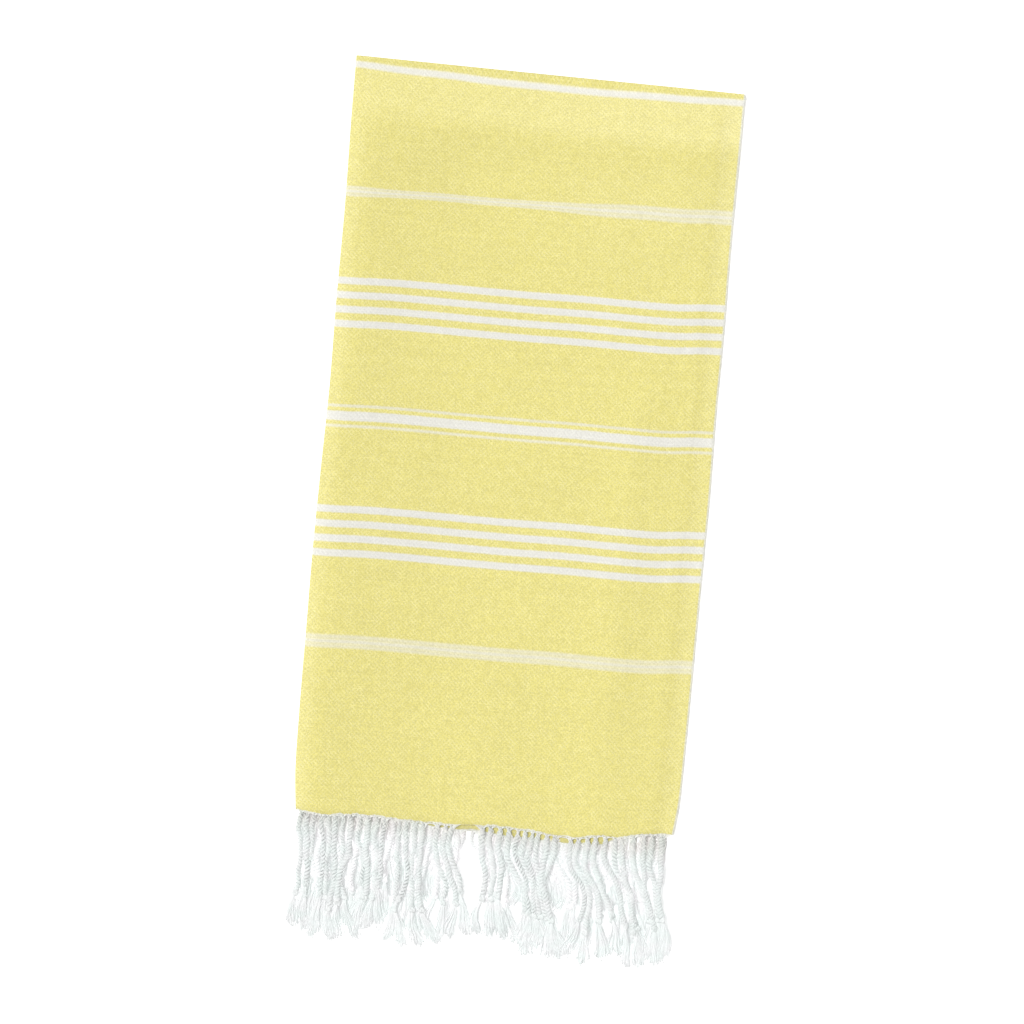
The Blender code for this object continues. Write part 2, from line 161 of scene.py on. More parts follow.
# The beds: height of the cords' middle, radius of a ply and tail past the knot, all in mm; where they are
# gathered; how high the brush ends come down, if OUTER_LANDING doesn't say it; rings and sides of a ply,
# yarns of a brush end and stray yarns of a cord; the yarn's white; its painted glow, an emission that
# stands in for light through it from the white table and lifts its shade; and the tone of the painted
# shade in the groove between the plies.
BEDS = {
    "outer": dict(
        middle=11.9, ply=1.88, tail=40, gathered=GATHERED_STATION, landing=None,
        rings=100, sides=7, yarns=38, strays=3, white=(0.580, 0.602, 0.594), painted_glow=0.46, groove_shade=0.64,
    ),
    "inner": dict(
        middle=9.0, ply=1.86, tail=40, gathered=GATHERED_STATION, landing=3.0 * MM,
        rings=80, sides=6, yarns=26, strays=2, white=(0.585, 0.588, 0.590), painted_glow=0.70, groove_shade=0.84,
    ),
    "lower": dict(
        middle=4.0, ply=1.75, tail=25, gathered=CLEAR_STATION, landing=BRUSH_MIDDLE,
        rings=56, sides=5, yarns=14, strays=0, white=(0.565, 0.565, 0.568), painted_glow=0.75, groove_shade=0.9,
    ),
}
LOWER_OUTER_TAIL = 37  # mm, on the outer leaf's cords of the lower end
ANY_ANGLE = (0, 6.28)
# How far cords stray from their tuft's row: at the hem, where it is gathered and at its tips.
STRAY_ROOT, STRAY_GATHERED, STRAY_END = 1.0 * MM, 1.7 * MM, 3.2 * MM
DRAWN_TOGETHER = 0.66  # share of a tuft's width that is left where it is gathered
OVER_AND_UNDER = 0.8 * MM  # neighbours lie by turns this much higher and lower
# A cord's own bends: the shortest and longest wave in mm, and how far it strays. Then its tuft's sway.
BENDS = (((26, 38), 0.63 * MM), ((48, 80), 1.44 * MM))
SWAY_LENGTH, SWAY = (90, 150), 2.2 * MM
BENDS_FROM, BENDS_FULL = 4 * MM, 30 * MM  # past the hem
LEVEL_FROM = CLEAR_STATION + 6 * MM  # where a cord has come up or down to its bed
# A ply's radius and its reach from the cord's middle, as shares of the bed's ply, and how much of each is
# there at the hem, where the twist is still closed.
PLY_RANGE, PLY_REACH = (0.8, 1.14), 0.95
HEM_PLY, HEM_REACH, TWIST_OPEN = 0.72, 0.55, 9 * MM
TWIST_PITCH, PITCH_RANGE = 8.0 * MM, (0.85, 1.2)
PLY_SWELL, PLY_SWELL_LENGTH = 0.07, 21 * MM  # thicker and thinner stretches
# A knot: how far its curve's parameter goes, where its ends are drawn in, and its sizes at KNOT_PLY.
KNOT_TURNS, KNOT_DRAWN_IN, KNOT_TILT, KNOT_ENDS = 2.02, 1.7, 0.6, 0.35
KNOT_ALONG, KNOT_ACROSS, KNOT_ABOVE, KNOT_PLY = 1.55 * MM, 1.02 * MM, 0.75 * MM, 1.46
KNOT_THICKER = 0.12  # at its ends
# Brush ends, in mm: how far their yarns spread aside, upward and past each other, how wide they start,
# their curl, its wave and their radius.
BRUSH_ASIDE, BRUSH_UPWARD, BRUSH_PAST, BRUSH_START = 3.2, 1.2, 2.4, 1.7
BRUSH_CURL, BRUSH_WAVE, BRUSH_YARN = (0.25, 0.8), (8, 14), (0.52, 0.98)
BRUSH_LOWEST = 0.35 * MM
# Stray yarns, in mm: the pitch at which they wind round a cord, how far they stand off it, how far before
# the knot they end, and their radius.
STRAY_PITCH, STRAY_OFF, STRAY_STOP, STRAY_YARN = (15, 34), (0.1, 1.5), (0, 30), (0.3, 0.5)
FAN_REACH, FAN_NEAREST = 9 * MM, 0.55  # below the hem, where a fan's threads have come together
WARP_THREAD = 0.42 * MM  # radius
THREAD_SPACING, LEAST_THREADS = 2.3 * MM, 4  # of a fan along the hem
MOST_FAN = 13 * MM  # furthest that a thread runs sideways to its cord
HEM_ARCS = (1.8 * MM, 3.2 * MM)  # how far the threads between two cords are drawn down to them
SCALLOP, SCALLOP_WIDTH = 1.3 * MM, 3.4 * MM  # the hem is drawn down at each cord

# ---- colours (linear) and weave
WEFT_YELLOW = (0.788, 0.71, 0.226)
WEFT_WHITE = (0.795, 0.782, 0.715)
WARP_WHITE = (0.88, 0.88, 0.80)
# The cords' own white and painted glow are in BEDS; LOOSE_GLOW is the loose yarns' painted glow. Places are
# along the frame's Y.
LOOSE_WHITE, LOOSE_GLOW = (0.530, 0.545, 0.541), 0.75
GLOW_FROM, GLOW_FULL, GLOW_LEAST = -374 * MM, -412 * MM, 0.45  # the painted glow is least at the hem, where the hem's shadow is left to show
TIPS_FROM, TIPS_FULL, TIPS_GLOW = -490 * MM, -525 * MM, 0.08  # more painted glow at the fringe's thin tips
HEM_SHADE_AND_LIGHT = {"cords": (1.0, 0.98, 0.94), "loose_yarns": (1.3, 1.27, 1.2)}  # painted shade and light beside the hem: the cords a little darker and warmer, the loose yarns lighter
COOL_CAST, WARM_CAST = (0.985, 1.005, 1.0), (1.012, 0.995, 1.004)  # of stretches of the fringe
CORD_RELIEF, LOOSE_RELIEF = 0.2 * MM, 0.04 * MM
GROOVE_FROM, GROOVE_FULL = 1.9, 1.15  # in plies' radii from the cord's middle: where the painted shade between the plies begins and is full
GROOVE_PATCHES = (0.38, 0.6, 0.3, 1.15)  # patches of that painted shade, as in TONES
THREAD_PITCH = 0.65 * MM
TWILL_REPEAT = 8  # threads
WARP_SHARE = 0.2  # of the warp's white where it shows
SPECKS = 0.1  # how much lighter and darker the cloth's specks are
# Painted shade along the fold edges
FOLD_SHADE_TONE = 0.84
# Painted shadow of the outer leaf's hem on the inner leaf
UNDER_HEM_SHADOW_TONE = 0.78
HEM_FRAYING = 5.0 * MM  # twice the usual reach of the white warp ends into the hem
FRAYING_PATCHES = (0.4, 0.62, 0.4, 1.15)
# How fine the noises are, per metre.
NOISE = dict(
    twill=90.0, ragged=260.0, fraying=240.0, fraying_patches=42.0, fading=11.0, fuzz=2600.0, groove_shade=30.0,
    cast=48.0,
)
RAGGED = 1.5  # mm, of a stripe's edges
# Tones: from and to where what they follow goes, and the tone at each.
# The warp's tone is painted light where the warp floats; the tones between threads and between fibres are
# painted shade in the hollows.
TONES = dict(
    pick=(0, 1, 0.975, 1.02), end=(0, 1, 0.98, 1.015), streak=(0.3, 0.8, 1.008, 0.98),
    patch=(0.25, 0.75, 0.985, 1.013), warp=(0, 1, 0.982, 1.034), shade_between_threads=(0, 0.9, 0.86, 1.03),
    shade_between_fibres=(0, 0.22, 0.86, 1), fibre=(0.3, 0.7, 0.95, 1.03), stretch=(0.3, 0.7, 0.965, 1.02),
)
# Falling and rising twill: its layer of the noise, and how strong it is at the least and at the most.
TWILLS = ((3.0, 0.45, 0.92), (9.0, 0.32, 0.76))
TWILL_FLOAT = 3.5  # threads of a repeat in which the warp shows
SELVEDGE_WHITE, HEM_WHITE, HEM_EDGE = 0.8, 0.9, 0.9 * MM
# Painted light and shade of the folds: how far the cloth is painted towards white, and its tone.
PAINTED_LIGHT_TO_WHITE, PAINTED_LIGHT_TONE = 0.055, 0.045
UNDER_HEM_SHADOW_FROM, UNDER_HEM_SHADOW_FULL = 14 * MM, 6 * MM  # from the hem: where the painted shadow under the outer leaf's hem begins and is full
FOLD_SHADE_HALVES = (1.3 * MM, 2.6 * MM)  # half-widths of the painted shade along the long fold and the cross fold
# Painted light and shade where the folds swell and sink: how much lighter (or darker) the cloth is painted,
# and where it begins and is full, across (u) and along (v), in mm.
PAINTED_LIGHT_PATCHES = (
    (0.8, ((24, 6), (None, None))),
    (0.75, ((8, 20), (90, 55))),
    (0.4, ((150, 330), (330, 120))),
    (-0.5, ((22, 40), (55, 90))),
    (0.35, ((120, 190), (90, 130))),
    (0.6, ((444, 452), (None, None))),
    (-1.6, ((None, None), (10, 6))),
)
# White wefts, in mm from the middle stripe: first line, pitch, number of lines, width, whiteness, how soft
# their edges are and whether the group narrows. A group of thin lines has a half-white ground.
STRIPES = (
    (0, 40, 1, 8.0, 0.93, 1.9),
    (146.0, 60, 1, 15.6, 0.47, 1.4, "narrows"),
    (140.4, 11.2, 2, 3.2, 0.6, 1.1, "narrows"),
    (146.0, 60, 1, 5.2, 0.78, 1.9, "narrows"),
    (255.2, 17.3, 4, 8.5, 1.0, 1.1),
    (405.8, 24.4, 2, 3.4, 0.66, 1.1),
    (418.0, 20, 1, 11.5, 1.0, 1.1),
    (530.4, 17.67, 4, 8.7, 1.0, 1.1),
    (689.9, 60, 1, 16.4, 0.47, 1.4),
    (684.2, 11.4, 2, 3.2, 0.58, 1.1),
    (689.9, 60, 1, 5.2, 0.74, 1.9),
)
# How many times closer the narrowing group's lines lie, over the place across, in mm.
NARROWING = ((10, 70, 1.2, 1.62), (200, 345, 1.0, 0.56))
MIDDLE_STRIPE = 13.1  # mm of sheet from the cross fold
# The weft doesn't run straight across: its drift in mm at shares of the leaf's width, near the cross
# fold, at the first triple line and further down.
WEFT_DRIFT = {
    "share": np.array([0, 0.04, 0.12, 0.235, 0.36, 0.5, 0.64, 0.77, 0.88, 0.955, 1.0]),
    "fold": np.array([-0.9, -0.1, 1.7, 2.2, 4.2, 4.5, 4.5, 2.8, 1.9, 0.0, -0.7]),
    "triple": np.array([6.8, 6.5, 5.1, 3.1, 2.3, 0.7, -0.5, -3.1, -4.0, -6.7, -7.3]),
    "rest": np.array([5.3, 4.8, 2.8, 1.6, 1.2, 0.5, -1.2, -1.4, -2.5, -6.0, -7.2]),
}
DRIFT_AT = (13, 157, 266)  # mm of sheet from the cross fold

# ---- camera and light
VIEW_WIDTH = 1.2337  # metres across the picture
LENS, SENSOR = 85.0, 36.0
TURN = 5.2  # degrees that the towel is turned in the picture
VIEW_CENTRE = (0.3 * MM, 0.8 * MM, 8 * MM)
FILL_LIGHT = 0.36
KEY_LIGHT, KEY_SOFTNESS = 2.8, 24.0  # the softness in degrees
KEY_FROM_ZENITH, KEY_TURN = 24.0, 62.0  # degrees; the turn is from +Y to -X
FLOOR_GLOW = 0.35  # the white table is lit a little from below
BOUNCES = 12  # light goes back and forth between white yarns
FLOOR_SIZE, FLOOR_DROP = 30.0, 0.05 * MM


def smooth(table, column, at):
    """Reads a table's column at the given places of its first column, by a curve through its rows."""
    keys, values = table[next(iter(table))], table[column]
    slopes = np.gradient(values, keys)
    at = np.clip(at, keys[0], keys[-1])
    row = np.clip(np.searchsorted(keys, at) - 1, 0, len(keys) - 2)
    span = keys[row + 1] - keys[row]
    t = (at - keys[row]) / span
    rise = t * t * (3 - 2 * t)
    lead = t * (1 - t) * (1 - t) * slopes[row] - t * t * (1 - t) * slopes[row + 1]
    return values[row] + rise * (values[row + 1] - values[row]) + span * lead


def ease(value, start, full):
    """0 before start, 1 past full and a soft step between."""
    t = np.clip((value - start) / (full - start), 0, 1)
    return t * t * (3 - 2 * t)


def grown(least, share):
    """least where share is 0, 1 where it is 1 and in line between."""
    return least + (1 - least) * share


def leaf_width(u):
    return np.where(u >= 0, OUTER_LEAF, INNER_LEAF)


def crease(place, distance, start, end, width, rise):
    """Height that one soft crease adds, in mm, at places and distances in mm."""
    run = np.subtract(end, start).astype(float)
    length = np.hypot(*run)
    run /= length
    across, along = place - start[0], distance - start[1]
    on = across * run[0] + along * run[1]
    off = across * run[1] - along * run[0]
    past = np.maximum(np.maximum(-on, on - length), 0)
    return rise * np.exp(-((off / width) ** 2)) * (1 - ease(past, 0, CREASE_TAPER))


def loft(place, distance):
    """Share by which the layers are spread upward at a place on the folded cloth."""
    swell_share = grown(FOLD_SWELL_LEAST, ease(distance, FOLD_SWELL_FROM, FOLD_SWELL_FULL))
    swell = smooth(FOLD_SWELL, "rise", place) * swell_share + smooth(CROSS_SWELL, "rise", distance)
    hem = HEM_LIFT * ease(distance, HEM_LIFT_FROM, HEM_LIFT_FULL)
    raised = swell / MM + sum(crease(place / MM, distance / MM, *row) for row in CREASES)
    for across, along, phase, rise in UNEVEN:
        raised = raised + rise * np.sin(2 * math.pi * (across * place + along * distance) + phase)
    return hem + raised * MM / TOP_HEIGHT


def round_long_fold(u, side):
    """Place across the folded cloth and depth under the outer leaf, for a point u from the long fold's
    middle along the sheet. side is the offset from the sheet's middle."""
    angle = np.clip(-u / LONG_BEND_HALF, -1, 1) * math.pi / 2 + math.pi / 2
    flat = np.maximum(np.abs(u) - LONG_BEND_HALF, 0)
    reach = LONG_BEND_RADIUS + side
    return LONG_BEND_RADIUS - reach * np.sin(angle) + flat, LONG_BEND_RADIUS - reach * np.cos(angle)


def round_cross_fold(v, depth):
    """Distance from the cross fold and height, for a point v from that fold's middle along the sheet."""
    angle = np.clip(v / CROSS_BEND_HALF, -1, 1) * math.pi / 2
    flat = np.maximum(np.abs(v) - CROSS_BEND_HALF, 0)
    reach = CROSS_BEND_RADIUS - depth
    return CROSS_BEND_RADIUS + SHEET / 2 - reach * np.cos(angle) + flat, STACK_MIDDLE + reach * np.sin(angle)


def folded(u, v, side):
    """Place, minus distance and height of a point of the sheet, as an array of points."""
    u, v, side = np.broadcast_arrays(np.asarray(u, float), np.asarray(v, float), np.asarray(side, float))
    place, depth = round_long_fold(u, side)
    distance, height = round_cross_fold(v, depth)
    middle_place, middle_depth = round_long_fold(u, 0 * side)
    middle_height = round_cross_fold(v, middle_depth)[1]
    distance = distance + FOLD_SLANT * place / OUTER_LEAF
    start, end = (smooth(SIDE_EDGES, edge, distance) for edge in ("long_fold", "selvedge"))
    across = start + place / OUTER_LEAF * (end - start)
    raised = height + (middle_height - SHEET / 2) * loft(middle_place, distance)
    on_top = np.where((u > 0) & (v > 0), ease(v, 0, SINK_PAST_FOLD), 0)
    raised = raised - SINK * on_top * ease(middle_place, SINK_FROM, SINK_TO)
    return np.stack([across, -distance, raised], -1)


def hem_length(u, upper):
    """Length of sheet from the cross fold's middle to the hem, on one end."""
    share = np.clip(np.abs(u) / leaf_width(u), 0, 1)
    if upper:
        overhang = np.where(u >= 0, 0.0, smooth(UPPER_HEM, "overhang", share))
        distance = smooth(UPPER_HEM, "distance", share) + overhang
    else:
        distance = LOWER_HEM_START + share * (LOWER_HEM_END - LOWER_HEM_START)
    slant = FOLD_SLANT * np.abs(u) / OUTER_LEAF
    return distance - slant - CROSS_BEND_RADIUS - SHEET / 2 + CROSS_BEND_HALF


def leaf_place(place, upper, outer):
    """u of the point of a hem that lies at the given place across, on one leaf."""
    trial = np.linspace(0, OUTER_LEAF if outer else -INNER_LEAF, 400)
    found = folded(trial, (1 if upper else -1) * hem_length(trial, upper), 0.0)[:, 0]
    return np.interp(place, found, trial)


# ---- where the model stands in the frame
def frame_shift():
    """Moves places and distances into the frame: the sheet's fold edges meet those of its solid."""
    low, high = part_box("towel_cloth")
    edge = folded(np.zeros(200), np.linspace(0.01, 0.9, 200), SHEET / 2)[:, 0].min()
    return np.array([low.x - edge, high.y, 0.0])


SHIFT = frame_shift()


def spread(tufts):
    """One row for each cord of a list of tufts: its places at the stations, and its length."""
    cords = []
    for number, (count, root, gathered, end, length, *crossing) in enumerate(tufts):
        routes = [np.linspace(*ends, count) * MM for ends in (root, gathered, end)]
        routes[1] = routes[1].mean() + DRAWN_TOGETHER * (routes[1] - routes[1].mean())
        for first in crossing:
            routes[2][[first, first + 1]] = routes[2][[first + 1, first]]
        routes[0] = routes[0] + random.normal(0, STRAY_ROOT, count)
        for root, gathered, end in zip(*routes):
            reach = (length + LENGTH_STAGGER[len(cords) % len(LENGTH_STAGGER)]) * MM
            cords.append(dict(root=root, gathered=gathered, end=end, length=reach, tuft=number))
    return cords


def plan_cords():
    """Every cord with its bed, the point of the sheet that it grows from and where its knot is."""
    cords = {"outer": spread(OUTER_TUFTS), "inner": spread(INNER_TUFTS), "lower": spread(LOWER_TUFTS)}
    for bed_name, row in cords.items():
        bed = BEDS[bed_name]
        upper = bed_name != "lower"
        for number, cord in enumerate(row):
            on_outer = bed_name == "outer"
            if not upper:
                on_outer = number % 2 == 1 or cord["root"] > INNER_LEAF_CORDS_TO
            cord["u"] = leaf_place(cord["root"], upper, on_outer)
            start = folded(cord["u"], (1 if upper else -1) * hem_length(cord["u"], upper), 0.0)
            cord["hem"], cord["lift"] = -start[1], start[2]
            tail = (LOWER_OUTER_TAIL if on_outer and not upper else bed["tail"]) * MM
            cord["stop"] = cord["hem"] + cord["length"]
            knot = cord["stop"] - tail - KNOT_STAGGER[number % len(KNOT_STAGGER)] * MM
            cord["knot"] = max(knot, bed["gathered"] + 2 * KNOT_REACH)
            cord["on_outer"] = on_outer
    return cords


CORDS = plan_cords()
OUTER_ROOTS = np.array([cord["u"] for cord in CORDS["outer"]])


# ---- the cloth
def sheet_columns():
    """u of each grid column, closest together where the hem shows and where cords draw it down."""
    wanted = np.append([OUTER_ROOTS + side * SCALLOP_WIDTH for side in (-1, 0, 1)], OUTER_LEAF)
    columns = [LONG_BEND_HALF]
    for at in np.sort(wanted):
        gap = at - columns[-1]
        if gap > LEAST_SPACING:
            steps = int(np.ceil(gap / OUTER_SPACING))
            columns += list(np.linspace(columns[-1], at, steps + 1)[1:])
    bend = np.linspace(-LONG_BEND_HALF, LONG_BEND_HALF, LONG_BEND_COLUMNS + 1)
    inner = np.linspace(-INNER_LEAF, -LONG_BEND_HALF, INNER_COLUMNS + 1)
    return np.concatenate([inner, bend[1:], columns[1:]])


def drawn_down(u):
    """How far the upper hem of the outer leaf is drawn down by its cords."""
    nearest = np.abs(np.asarray(u)[..., None] - OUTER_ROOTS).min(-1)
    return SCALLOP * np.exp(-((nearest / SCALLOP_WIDTH) ** 2))


def sheet_rows(u):
    """v of each grid row at a column u, from the lower end's hem round the cross fold to the upper one's."""
    bend = np.linspace(-CROSS_BEND_HALF, CROSS_BEND_HALF, CROSS_BEND_ROWS + 1)
    upper_end = hem_length(u, True) + (drawn_down(u) - SCALLOP if u > 0 else 0.0)
    upper = np.linspace(CROSS_BEND_HALF, upper_end, UPPER_ROWS + 1)[1:]
    lower = np.linspace(CROSS_BEND_HALF, hem_length(u, False), LOWER_ROWS + 1)[1:]
    return np.concatenate([-lower[::-1], bend, upper])


def weft_place(u, v):
    """v as the weft counts it: the same value all along one weft thread, however it drifts."""
    share = np.clip(np.abs(u) / leaf_width(u), 0, 1)
    fold, triple, rest = (smooth(WEFT_DRIFT, column, share) for column in ("fold", "triple", "rest"))
    at = np.abs(v) / MM
    first, second, third = DRIFT_AT
    drift = fold + (triple - fold) * ease(at, first, second)
    drift = drift + (rest - triple) * ease(at, second, third)
    return v - np.sign(v) * np.minimum(1, at / first) * drift * MM


def grid_mesh(name, points, faces, maps, material):
    """A smooth-shaded object with UV maps, each given as one pair for every corner of every face."""
    mesh = bpy.data.meshes.new(name)
    mesh.from_pydata(points.tolist(), [], faces)
    for map_name, pairs in maps.items():
        layer = mesh.uv_layers.new(name=map_name)
        layer.data.foreach_set("uv", np.asarray(pairs, np.float32).ravel())
    mesh.shade_smooth()
    mesh.materials.append(material)
    made = bpy.data.objects.new(name, mesh)
    scene.collection.objects.link(made)
    return made


def make_cloth(material):
    """The whole sheet as one closed surface: outer face, inner face and rounded rims between them."""
    columns = sheet_columns()
    v = np.array([sheet_rows(column) for column in columns])
    u = np.repeat(columns[:, None], v.shape[1], 1)
    # One column and one row of rim on each side, at the sheet's middle.
    u, v = np.pad(u, 1, mode="edge"), np.pad(v, 1, mode="edge")
    u[0] -= RIM
    u[-1] += RIM
    v[:, 0] -= RIM
    v[:, -1] += RIM
    inside = np.zeros(u.shape, bool)
    inside[1:-1, 1:-1] = True
    outer, inner = (folded(u, v, np.where(inside, side, 0.0)) for side in (SHEET / 2, -SHEET / 2))
    points = np.concatenate([outer.reshape(-1, 3), inner[inside]])
    front = np.arange(u.size).reshape(u.shape)
    back = front.copy()
    back[inside] = u.size + np.arange(inside.sum())

    weft = weft_place(u, v)
    to_hem = np.where(v > 0, hem_length(u, True), hem_length(u, False)) - np.abs(v)
    span = 2 * (OUTER_LEAF + INNER_LEAF) + 4 * BAKE_MARGIN
    along = (v + LOWER_HEM_START + BAKE_MARGIN) / span
    low, high = slice(0, -1), slice(1, None)
    corners = [(low, low), (high, low), (high, high), (low, high)]
    faces, maps = [], {"sheet": [], "hem": [], "OFBake": []}
    for half, number in enumerate((front, back)):
        faces += np.stack([number[at] for at in corners], -1).reshape(-1, 4).tolist()
        across = (u + INNER_LEAF + BAKE_MARGIN / 2 + half * (span / 2)) / span
        for pairs, both in zip(maps.values(), ((u, weft), (u, to_hem), (across, along))):
            pairs.append(np.stack([np.stack([part[at] for part in both], -1) for at in corners], 2))
        corners = corners[::-1]
    return grid_mesh("towel_sheet", points + SHIFT, faces, maps, material)


# ---- yarn, as joined tubes
def face_corners(values):
    """The four corners of every face of some tubes, from a value for each point of their rings."""
    turned = np.roll(values, -1, 2)
    return np.stack([values[:, :-1], turned[:, :-1], turned[:, 1:], values[:, 1:]], -1)


class Tubes:
    """Collects tubes of one piece, each batch with the same number of rings and sides."""

    NO_GROOVE = 2.0  # of a yarn that isn't wound with another

    def __init__(self):
        self.points, self.faces, self.pairs, self.out, self.count = [], [], [], [], 0

    def add(self, paths, radii, sides, cores=None):
        """Paths and radii have a value for each ring. cores are the middles of what the tubes wind round."""
        paths, radii = np.array(paths), np.array(radii)[:, :, None]
        tubes, rings, _ = paths.shape
        tangent = np.gradient(paths, axis=1)
        tangent /= np.linalg.norm(tangent, axis=2, keepdims=True) + 1e-12
        normal = np.zeros_like(paths)
        up = np.tile([0.0, 0.0, 1.0], (tubes, 1))
        for ring in range(rings):
            up = up - (up * tangent[:, ring]).sum(1, keepdims=True) * tangent[:, ring]
            up /= np.linalg.norm(up, axis=1, keepdims=True) + 1e-12
            normal[:, ring] = up
        binormal = np.cross(tangent, normal)
        turn = np.arange(sides) / sides * 2 * math.pi
        ring_shape = np.cos(turn)[:, None] * binormal[:, :, None] + np.sin(turn)[:, None] * normal[:, :, None]
        body = paths[:, :, None] + radii[..., None] * ring_shape
        out = np.full((tubes, rings, sides), self.NO_GROOVE)
        if cores is not None:
            out = np.linalg.norm(body - np.array(cores)[:, :, None], axis=3) / radii
        out = face_corners(out).ravel()
        number = self.count + np.arange(tubes * rings * sides).reshape(tubes, rings, sides)
        step = np.linalg.norm(np.diff(paths, axis=1), axis=2)
        run = np.concatenate([np.zeros((tubes, 1)), np.cumsum(step, 1)], 1)
        run = run + random.uniform(0, 1, (tubes, 1))
        along = face_corners(np.broadcast_to(run[:, :, None], (tubes, rings, sides)))
        low, high = np.arange(sides) / sides, (np.arange(sides) + 1) / sides
        around = np.broadcast_to(np.stack([low, high, high, low], -1), along.shape)
        self.points.append(body.reshape(-1, 3))
        self.faces += face_corners(number).reshape(-1, 4).tolist()
        self.pairs.append(np.stack([along, around], -1).reshape(-1, 2))
        self.out.append(np.stack([out, 0 * out], -1))
        caps = number[:, 0, ::-1].tolist() + number[:, -1].tolist()
        self.faces += caps
        self.pairs.append(np.zeros((len(caps) * sides, 2)))
        self.out.append(np.tile([[self.NO_GROOVE, 0.0]], (len(caps) * sides, 1)))
        self.count += tubes * rings * sides

    def make(self, name, material):
        points = np.concatenate(self.points) + SHIFT
        points[:, 2] = np.maximum(points[:, 2], 0.0)
        maps = {"yarn": np.concatenate(self.pairs), "groove_shade": np.concatenate(self.out)}
        return grid_mesh(name, points, self.faces, maps, material)


def cord_route(cord, bed, distances):
    """Middle of a cord at the given distances from the cross fold, before its shift into the frame."""
    slope = (cord["end"] - cord["gathered"]) / (END_STATION - bed["gathered"])
    past = END_STATION + 30 * MM
    rows = (
        (cord["hem"], cord["root"]),
        (CLEAR_STATION, cord["root"]),
        (GATHERED_STATION, cord["gathered"] + slope * (GATHERED_STATION - bed["gathered"])),
        (END_STATION, cord["end"]),
        (past, cord["end"] + slope * (past - END_STATION)),
    )
    place = smooth(dict(zip(("distance", "place"), np.transpose(rows))), "place", distances)
    into = ease(distances, cord["hem"] + BENDS_FROM, cord["hem"] + BENDS_FULL)
    for length, phase, reach in cord["waves"]:
        place = place + into * reach * np.sin(2 * math.pi * distances / length + phase)
    middle = bed["middle"] * MM
    height = cord["lift"] + (middle - cord["lift"]) * ease(distances, cord["hem"], LEVEL_FROM)
    landing = bed["landing"]
    if landing is None:
        landing = np.interp(cord["stop"], *OUTER_LANDING) + BRUSH_MIDDLE
    down = ease(distances, cord["knot"] + 2 * MM, cord["stop"] + 4 * MM)
    height = height + (landing - middle) * down + cord["over"] * into * (1 - down)
    return np.stack([place, -distances, height], -1)


def add_waves(cords):
    """Gives each cord its own small bends, and the slower sway that it shares with its tuft."""
    for bed_name, row in cords.items():
        sways = {}
        for number, cord in enumerate(row):
            if cord["tuft"] not in sways:
                sways[cord["tuft"]] = (random.uniform(*SWAY_LENGTH) * MM, random.uniform(*ANY_ANGLE), SWAY)
            bends = [
                (random.uniform(*length) * MM, random.uniform(*ANY_ANGLE), reach) for length, reach in BENDS
            ]
            cord["waves"] = [*bends, sways[cord["tuft"]]]
            cord["gathered"] += random.normal(0, STRAY_GATHERED)
            cord["end"] += random.normal(0, STRAY_END)
            cord["hand"] = 1 if number % 2 else -1
            cord["ply"] = BEDS[bed_name]["ply"] * random.uniform(*PLY_RANGE)
            cord["over"] = OVER_AND_UNDER * cord["hand"]


def beside(run):
    """Unit vectors to the side of a unit vector, or of rows of them, and over it."""
    side = np.cross(run, [0, 0, 1.0])
    side /= np.linalg.norm(side, axis=-1, keepdims=True)
    return side, np.cross(side, run)


def twisted_plies(tubes, cords, bed):
    """The two plies of each cord, wound round each other from the hem to the knot."""
    paths, radii, cores = [], [], []
    for cord in cords:
        distances = np.linspace(cord["hem"] + 1.5 * MM, cord["knot"] - 1.5 * MM, bed["rings"])
        middle = cord_route(cord, bed, distances)
        run = np.concatenate([[0], np.cumsum(np.linalg.norm(np.diff(middle, axis=0), axis=1))])
        tangent = np.gradient(middle, axis=0)
        tangent /= np.linalg.norm(tangent, axis=1)[:, None]
        side, over = beside(tangent)
        pitch = TWIST_PITCH * random.uniform(*PITCH_RANGE)
        turn = cord["hand"] * 2 * math.pi * run / pitch + random.uniform(*ANY_ANGLE)
        open_up = ease(run, 0, TWIST_OPEN)
        ply = cord["ply"] * MM
        reach = ply * PLY_REACH * grown(HEM_REACH, open_up)[:, None]
        swell = 1 + PLY_SWELL * np.sin(run * 2 * math.pi / PLY_SWELL_LENGTH + cord["waves"][0][1])
        for half in (0, math.pi):
            spin = (turn + half)[:, None]
            paths.append(middle + reach * (np.cos(spin) * side - np.sin(spin) * over))
            radii.append(ply * grown(HEM_PLY, open_up) * swell)
            cores.append(middle)
    tubes.add(paths, radii, bed["sides"], cores=cores)


def knots(tubes, cords, bed, rings=34, sides=7):
    """An overhand knot in each cord, drawn up tight."""
    t = np.linspace(-KNOT_TURNS, KNOT_TURNS, rings)
    along = (t**3 - 3 * t) * KNOT_ALONG
    across = (t**4 - 4 * t**2 + 2.0) * KNOT_ACROSS
    above = (t**5 / 5 - 2 * t) * KNOT_ABOVE
    settle = 1 - ease(np.abs(t), KNOT_DRAWN_IN, KNOT_TURNS)
    across = across * grown(KNOT_ENDS, settle)
    paths, radii = [], []
    for cord in cords:
        before, at, after = cord_route(cord, bed, cord["knot"] + mm(-1, 0, 1))
        run = (after - before) / np.linalg.norm(after - before)
        side, over = beside(run)
        flip = 1 if random.random() < 0.5 else -1
        tilt = random.uniform(-KNOT_TILT, KNOT_TILT)
        sideways = flip * (side * math.cos(tilt) + over * math.sin(tilt))
        axes = (run, sideways, np.cross(sideways, run))
        curve = sum(part[:, None] * axis for part, axis in zip((along, across, above), axes))
        paths.append(at + cord["ply"] / KNOT_PLY * curve)
        radii.append(cord["ply"] * MM * (1 + KNOT_THICKER * (1 - settle)))
    tubes.add(paths, radii, sides)


